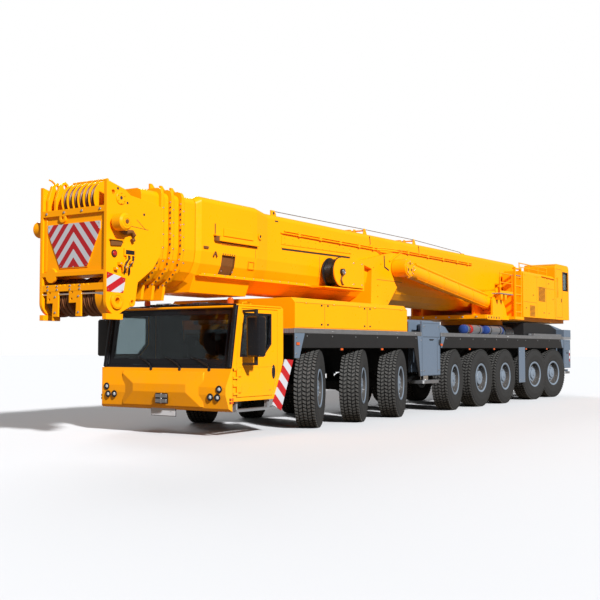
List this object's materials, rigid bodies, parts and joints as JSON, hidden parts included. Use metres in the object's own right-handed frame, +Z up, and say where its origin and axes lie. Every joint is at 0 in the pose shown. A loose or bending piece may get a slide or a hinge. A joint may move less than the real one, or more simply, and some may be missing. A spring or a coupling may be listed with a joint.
{
  "type": "mobile crane",
  "caption": "All-terrain truck crane with a low driver's cab, steered axles, sliding outriggers, slewing upper, twin luffing cylinders and telescopic boom.",
  "frame": {"origin": "on the ground under the middle of the whole crane's box, in its stored pose", "axes": "+X to the front, +Y to the crane's left, +Z up"},
  "size_m": [20.76, 3.76, 4.2499],
  "materials": {
    "tyre": "matte",
    "grey_steel": "satin",
    "grey_paint": "satin",
    "bare_steel": "polished",
    "deck_aluminium": "satin",
    "black_plastic": "satin",
    "yellow_paint": "gloss",
    "glass": "clear",
    "dark_trim": "matte",
    "sheave_plastic": "satin"
  },
  "bodies": {
    "carrier": {"chassis_frame": "grey_paint", "axles_and_engine": "grey_steel", "decks_and_steps": "deck_aluminium", "mudguards": "black_plastic", "engine_hood": "yellow_paint", "cab_shell": "yellow_paint", "cab_front_panel": "yellow_paint", "glass_and_lamps": "glass", "cab_interior": "dark_trim"},
    "wheel_1_left": {"wheel_1_left": "tyre"},
    "knuckle_1_left": {"knuckle_1_left": "grey_steel"},
    "wheel_1_right": {"wheel_1_right": "tyre"},
    "knuckle_1_right": {"knuckle_1_right": "grey_steel"},
    "wheel_2_left": {"wheel_2_left": "tyre"},
    "knuckle_2_left": {"knuckle_2_left": "grey_steel"},
    "wheel_2_right": {"wheel_2_right": "tyre"},
    "knuckle_2_right": {"knuckle_2_right": "grey_steel"},
    "wheel_3_left": {"wheel_3_left": "tyre"},
    "knuckle_3_left": {"knuckle_3_left": "grey_steel"},
    "wheel_3_right": {"wheel_3_right": "tyre"},
    "knuckle_3_right": {"knuckle_3_right": "grey_steel"},
    "wheel_4_left": {"wheel_4_left": "tyre"},
    "knuckle_4_left": {"knuckle_4_left": "grey_steel"},
    "wheel_4_right": {"wheel_4_right": "tyre"},
    "knuckle_4_right": {"knuckle_4_right": "grey_steel"},
    "wheel_5_left": {"wheel_5_left": "tyre"},
    "wheel_5_right": {"wheel_5_right": "tyre"},
    "wheel_6_left": {"wheel_6_left": "tyre"},
    "wheel_6_right": {"wheel_6_right": "tyre"},
    "wheel_7_left": {"wheel_7_left": "tyre"},
    "knuckle_7_left": {"knuckle_7_left": "grey_steel"},
    "wheel_7_right": {"wheel_7_right": "tyre"},
    "knuckle_7_right": {"knuckle_7_right": "grey_steel"},
    "wheel_8_left": {"wheel_8_left": "tyre"},
    "knuckle_8_left": {"knuckle_8_left": "grey_steel"},
    "wheel_8_right": {"wheel_8_right": "tyre"},
    "knuckle_8_right": {"knuckle_8_right": "grey_steel"},
    "outrigger_beam_front_left": {"outrigger_beam_front_left": "grey_paint"},
    "outrigger_jack_front_left": {"outrigger_jack_front_left": "bare_steel"},
    "outrigger_beam_front_right": {"outrigger_beam_front_right": "grey_paint"},
    "outrigger_jack_front_right": {"outrigger_jack_front_right": "bare_steel"},
    "outrigger_beam_rear_left": {"outrigger_beam_rear_left": "grey_paint"},
    "outrigger_jack_rear_left": {"outrigger_jack_rear_left": "bare_steel"},
    "outrigger_beam_rear_right": {"outrigger_beam_rear_right": "grey_paint"},
    "outrigger_jack_rear_right": {"outrigger_jack_rear_right": "bare_steel"},
    "cab_door_left": {"cab_door_left": "yellow_paint"},
    "cab_door_right": {"cab_door_right": "yellow_paint"},
    "upper": {"turntable_frame": "yellow_paint", "upper_housings": "yellow_paint", "crane_cab": "yellow_paint", "hoist_winch": "grey_steel"},
    "boom": {"boom_base": "yellow_paint", "cable_reel": "black_plastic"},
    "section_1": {"boom_section_1": "yellow_paint"},
    "section_2": {"boom_section_2": "yellow_paint"},
    "section_3": {"boom_section_3": "yellow_paint", "boom_head": "yellow_paint", "head_sheaves": "sheave_plastic"},
    "barrels": {"luffing_barrels": "yellow_paint"},
    "rods": {"luffing_rods": "bare_steel"}
  },
  "joints": [
    {"name": "steer_1_left", "type": "hinge", "parent": "carrier", "child": "knuckle_1_left", "pos_m": [5.52, 1.08, 0.745], "axis": [0, 0, 1], "range_deg": [-56, 8]},
    {"name": "spin_1_left", "type": "hinge", "parent": "knuckle_1_left", "child": "wheel_1_left", "pos_m": [5.43947, 1.26088, 0.745], "axis": [-0.4067, 0.9135, 0], "continuous": true},
    {"name": "steer_1_right", "type": "hinge", "parent": "carrier", "child": "knuckle_1_right", "pos_m": [5.52, -1.08, 0.745], "axis": [0, 0, 1], "range_deg": [-56.5, 8.5]},
    {"name": "spin_1_right", "type": "hinge", "parent": "knuckle_1_right", "child": "wheel_1_right", "pos_m": [5.60053, -1.26088, 0.745], "axis": [-0.4067, 0.9135, 0], "continuous": true},
    {"name": "steer_2_left", "type": "hinge", "parent": "carrier", "child": "knuckle_2_left", "pos_m": [3.82, 1.08, 0.745], "axis": [0, 0, 1], "range_deg": [-50.67, 7.67]},
    {"name": "spin_2_left", "type": "hinge", "parent": "knuckle_2_left", "child": "wheel_2_left", "pos_m": [3.74743, 1.26422, 0.745], "axis": [-0.3665, 0.9304, 0], "continuous": true},
    {"name": "steer_2_right", "type": "hinge", "parent": "carrier", "child": "knuckle_2_right", "pos_m": [3.82, -1.08, 0.745], "axis": [0, 0, 1], "range_deg": [-50.67, 7.67]},
    {"name": "spin_2_right", "type": "hinge", "parent": "knuckle_2_right", "child": "wheel_2_right", "pos_m": [3.89257, -1.26422, 0.745], "axis": [-0.3665, 0.9304, 0], "continuous": true},
    {"name": "steer_3_left", "type": "hinge", "parent": "carrier", "child": "knuckle_3_left", "pos_m": [2.14, 1.08, 0.745], "axis": [0, 0, 1], "range_deg": [-40.17, 6.17]},
    {"name": "spin_3_left", "type": "hinge", "parent": "knuckle_3_left", "child": "wheel_3_left", "pos_m": [2.08211, 1.26935, 0.745], "axis": [-0.2924, 0.9563, 0], "continuous": true},
    {"name": "steer_3_right", "type": "hinge", "parent": "carrier", "child": "knuckle_3_right", "pos_m": [2.14, -1.08, 0.745], "axis": [0, 0, 1], "range_deg": [-40.17, 6.17]},
    {"name": "spin_3_right", "type": "hinge", "parent": "knuckle_3_right", "child": "wheel_3_right", "pos_m": [2.19789, -1.26935, 0.745], "axis": [-0.2924, 0.9563, 0], "continuous": true},
    {"name": "steer_4_left", "type": "hinge", "parent": "carrier", "child": "knuckle_4_left", "pos_m": [-0.78, 1.08, 0.745], "axis": [0, 0, 1], "range_deg": [-21.5, 3.5]},
    {"name": "spin_4_left", "type": "hinge", "parent": "knuckle_4_left", "child": "wheel_4_left", "pos_m": [-0.81097, 1.27556, 0.745], "axis": [-0.1564, 0.9877, 0], "continuous": true},
    {"name": "steer_4_right", "type": "hinge", "parent": "carrier", "child": "knuckle_4_right", "pos_m": [-0.78, -1.08, 0.745], "axis": [0, 0, 1], "range_deg": [-21.5, 3.5]},
    {"name": "spin_4_right", "type": "hinge", "parent": "knuckle_4_right", "child": "wheel_4_right", "pos_m": [-0.74903, -1.27556, 0.745], "axis": [-0.1564, 0.9877, 0], "continuous": true},
    {"name": "spin_5_left", "type": "hinge", "parent": "carrier", "child": "wheel_5_left", "pos_m": [-2.48, 1.278, 0.745], "axis": [0, 1, 0], "continuous": true},
    {"name": "spin_5_right", "type": "hinge", "parent": "carrier", "child": "wheel_5_right", "pos_m": [-2.48, -1.278, 0.745], "axis": [0, 1, 0], "continuous": true},
    {"name": "spin_6_left", "type": "hinge", "parent": "carrier", "child": "wheel_6_left", "pos_m": [-4.18, 1.278, 0.745], "axis": [0, 1, 0], "continuous": true},
    {"name": "spin_6_right", "type": "hinge", "parent": "carrier", "child": "wheel_6_right", "pos_m": [-4.18, -1.278, 0.745], "axis": [0, 1, 0], "continuous": true},
    {"name": "steer_7_left", "type": "hinge", "parent": "carrier", "child": "knuckle_7_left", "pos_m": [-6.6, 1.08, 0.745], "axis": [0, 0, 1], "range_deg": [-3.17, 19.17]},
    {"name": "spin_7_left", "type": "hinge", "parent": "knuckle_7_left", "child": "wheel_7_left", "pos_m": [-6.57244, 1.27607, 0.745], "axis": [0.1392, 0.9903, 0], "continuous": true},
    {"name": "steer_7_right", "type": "hinge", "parent": "carrier", "child": "knuckle_7_right", "pos_m": [-6.6, -1.08, 0.745], "axis": [0, 0, 1], "range_deg": [-3.17, 19.17]},
    {"name": "spin_7_right", "type": "hinge", "parent": "knuckle_7_right", "child": "wheel_7_right", "pos_m": [-6.62756, -1.27607, 0.745], "axis": [0.1392, 0.9903, 0], "continuous": true},
    {"name": "steer_8_left", "type": "hinge", "parent": "carrier", "child": "knuckle_8_left", "pos_m": [-8.3, 1.08, 0.745], "axis": [0, 0, 1], "range_deg": [-3.67, 22.67]},
    {"name": "spin_8_left", "type": "hinge", "parent": "knuckle_8_left", "child": "wheel_8_left", "pos_m": [-8.26732, 1.27529, 0.745], "axis": [0.165, 0.9863, 0], "continuous": true},
    {"name": "steer_8_right", "type": "hinge", "parent": "carrier", "child": "knuckle_8_right", "pos_m": [-8.3, -1.08, 0.745], "axis": [0, 0, 1], "range_deg": [-3.67, 22.67]},
    {"name": "spin_8_right", "type": "hinge", "parent": "knuckle_8_right", "child": "wheel_8_right", "pos_m": [-8.33268, -1.27529, 0.745], "axis": [0.165, 0.9863, 0], "continuous": true},
    {"name": "beam_front_left", "type": "slide", "parent": "carrier", "child": "outrigger_beam_front_left", "axis": [0, 1, 0], "range_m": [0, 2.1]},
    {"name": "jack_front_left", "type": "slide", "parent": "outrigger_beam_front_left", "child": "outrigger_jack_front_left", "axis": [0, 0, -1], "range_m": [0, 0.7]},
    {"name": "beam_front_right", "type": "slide", "parent": "carrier", "child": "outrigger_beam_front_right", "axis": [0, -1, 0], "range_m": [0, 2.1]},
    {"name": "jack_front_right", "type": "slide", "parent": "outrigger_beam_front_right", "child": "outrigger_jack_front_right", "axis": [0, 0, -1], "range_m": [0, 0.7]},
    {"name": "beam_rear_left", "type": "slide", "parent": "carrier", "child": "outrigger_beam_rear_left", "axis": [0, 1, 0], "range_m": [0, 2.1]},
    {"name": "jack_rear_left", "type": "slide", "parent": "outrigger_beam_rear_left", "child": "outrigger_jack_rear_left", "axis": [0, 0, -1], "range_m": [0, 0.7]},
    {"name": "beam_rear_right", "type": "slide", "parent": "carrier", "child": "outrigger_beam_rear_right", "axis": [0, -1, 0], "range_m": [0, 2.1]},
    {"name": "jack_rear_right", "type": "slide", "parent": "outrigger_beam_rear_right", "child": "outrigger_jack_rear_right", "axis": [0, 0, -1], "range_m": [0, 0.7]},
    {"name": "door_left", "type": "hinge", "parent": "carrier", "child": "cab_door_left", "pos_m": [8.064, 1.506, 1.4], "axis": [0, 0, -1], "range_deg": [0, 70]},
    {"name": "door_right", "type": "hinge", "parent": "carrier", "child": "cab_door_right", "pos_m": [8.064, -1.506, 1.4], "axis": [0, 0, 1], "range_deg": [0, 70]},
    {"name": "slew", "type": "hinge", "parent": "carrier", "child": "upper", "pos_m": [-5.3, 0, 2.18], "axis": [0, 0, 1], "continuous": true},
    {"name": "luff", "type": "hinge", "parent": "upper", "child": "boom", "pos_m": [-6.75, 0, 3.25], "axis": [0, -1, 0], "range_deg": [0, 84]},
    {"name": "barrel_swing", "type": "hinge", "parent": "upper", "child": "barrels", "pos_m": [-4.25, 0, 2.76], "axis": [0, -1, 0], "range_deg": [-1, 96.66]},
    {"name": "rod_slide", "type": "slide", "parent": "barrels", "child": "rods", "axis": [0.993, 0, 0.1178], "range_m": [-0.02, 3.1431]},
    {"name": "telescope_1", "type": "slide", "parent": "boom", "child": "section_1", "axis": [1, 0, 0], "range_m": [0, 11]},
    {"name": "telescope_2", "type": "slide", "parent": "section_1", "child": "section_2", "axis": [1, 0, 0], "range_m": [0, 11]},
    {"name": "telescope_3", "type": "slide", "parent": "section_2", "child": "section_3", "axis": [1, 0, 0], "range_m": [0, 11]}
  ],
  "couplings": [
    {"joint": "steer_1_right", "follows": "steer_1_left", "ratio": 1},
    {"joint": "steer_2_left", "follows": "steer_1_left", "ratio": 0.89583},
    {"joint": "steer_2_right", "follows": "steer_1_left", "ratio": 0.89583},
    {"joint": "steer_3_left", "follows": "steer_1_left", "ratio": 0.70833},
    {"joint": "steer_3_right", "follows": "steer_1_left", "ratio": 0.70833},
    {"joint": "steer_4_left", "follows": "steer_1_left", "ratio": 0.375},
    {"joint": "steer_4_right", "follows": "steer_1_left", "ratio": 0.375},
    {"joint": "steer_7_left", "follows": "steer_1_left", "ratio": -0.33333},
    {"joint": "steer_7_right", "follows": "steer_1_left", "ratio": -0.33333},
    {"joint": "steer_8_left", "follows": "steer_1_left", "ratio": -0.39583},
    {"joint": "steer_8_right", "follows": "steer_1_left", "ratio": -0.39583},
    {"joint": "barrel_swing", "follows": "luff", "ratio": 1.1388},
    {"joint": "rod_slide", "follows": "luff", "m_per_rad": 2.1302}
  ]
}
